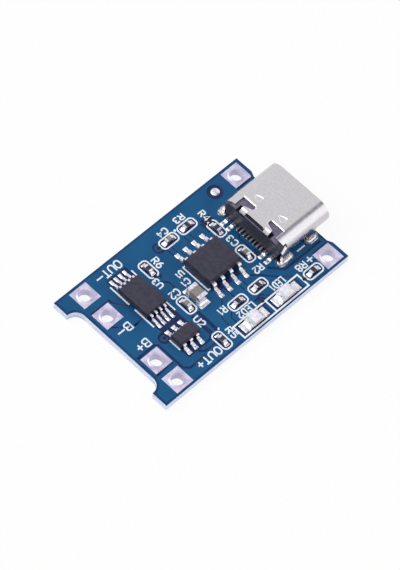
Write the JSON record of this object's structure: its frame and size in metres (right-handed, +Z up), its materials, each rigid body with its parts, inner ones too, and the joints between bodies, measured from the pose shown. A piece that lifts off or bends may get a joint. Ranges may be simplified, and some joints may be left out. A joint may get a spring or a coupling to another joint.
{
  "type": "lithium battery charger module",
  "caption": "Small charger board for a lithium cell: USB-C socket, charger and protection chips, indicator lights and square wire pads.",
  "frame": {"origin": "middle of the board's underside", "axes": "+Y along the board towards the socket's mouth, +X towards the indicator lights, +Z up out of the component side"},
  "size_m": [0.0174, 0.0292, 0.0042],
  "materials": {
    "board_mask": "glossy blue solder mask over glass fibre laminate, pale cut edges",
    "tinned_pad": "flat tinned copper, satin",
    "plating": "thin plating in small holes",
    "solder": "bright reflowed solder",
    "shell_steel": "satin nickel-plated steel sheet",
    "black_moulding": "fine-grained black thermoplastic",
    "contact_gold": "gold-plated copper alloy",
    "chip_moulding": "matt moulded epoxy with a fine mould texture",
    "tinned_lead": "tin-plated metal",
    "resistor_black": "black glaze on white ceramic",
    "capacitor_ceramic": "smooth fired ceramic, beige",
    "light_base": "white laminate",
    "light_lens": "clear to milky cast resin",
    "white_print": "thin white ink"
  },
  "bodies": {
    "root": {"board": "board_mask", "pad_in_minus": "tinned_pad", "pad_in_plus": "tinned_pad", "pad_out_minus": "tinned_pad", "pad_b_minus": "tinned_pad", "pad_b_plus": "tinned_pad", "pad_out_plus": "tinned_pad", "vias": "plating", "test_point": "solder", "usb_shell": "shell_steel", "usb_housing": "black_moulding", "usb_contacts_upper": "contact_gold", "usb_contacts_lower": "contact_gold", "usb_latch_plate": "shell_steel", "usb_leg_solder": "solder", "usb_tail_solder": "solder", "u1_body": "chip_moulding", "u1_leads": "tinned_lead", "u1_solder": "solder", "u2_body": "chip_moulding", "u2_leads": "tinned_lead", "u2_solder": "solder", "u3_body": "chip_moulding", "u3_leads": "tinned_lead", "u3_solder": "solder", "c1_body": "capacitor_ceramic", "c1_terminals": "tinned_lead", "r1_body": "resistor_black", "r1_terminals": "tinned_lead", "r2_body": "resistor_black", "r2_terminals": "tinned_lead", "r3_body": "resistor_black", "r3_terminals": "tinned_lead", "r4_body": "resistor_black", "r4_terminals": "tinned_lead", "r5_body": "resistor_black", "r5_terminals": "tinned_lead", "r6_body": "resistor_black", "r6_terminals": "tinned_lead", "r8_body": "resistor_black", "r8_terminals": "tinned_lead", "c2_body": "capacitor_ceramic", "c2_terminals": "tinned_lead", "c3_body": "capacitor_ceramic", "c3_terminals": "tinned_lead", "c4_body": "capacitor_ceramic", "c4_terminals": "tinned_lead", "led1_base": "light_base", "led1_lens": "light_lens", "led1_terminals": "tinned_lead", "led2_base": "light_base", "led2_lens": "light_lens", "led2_terminals": "tinned_lead", "small_part_solder": "solder", "printed_outlines": "white_print"}
  },
  "joints": []
}
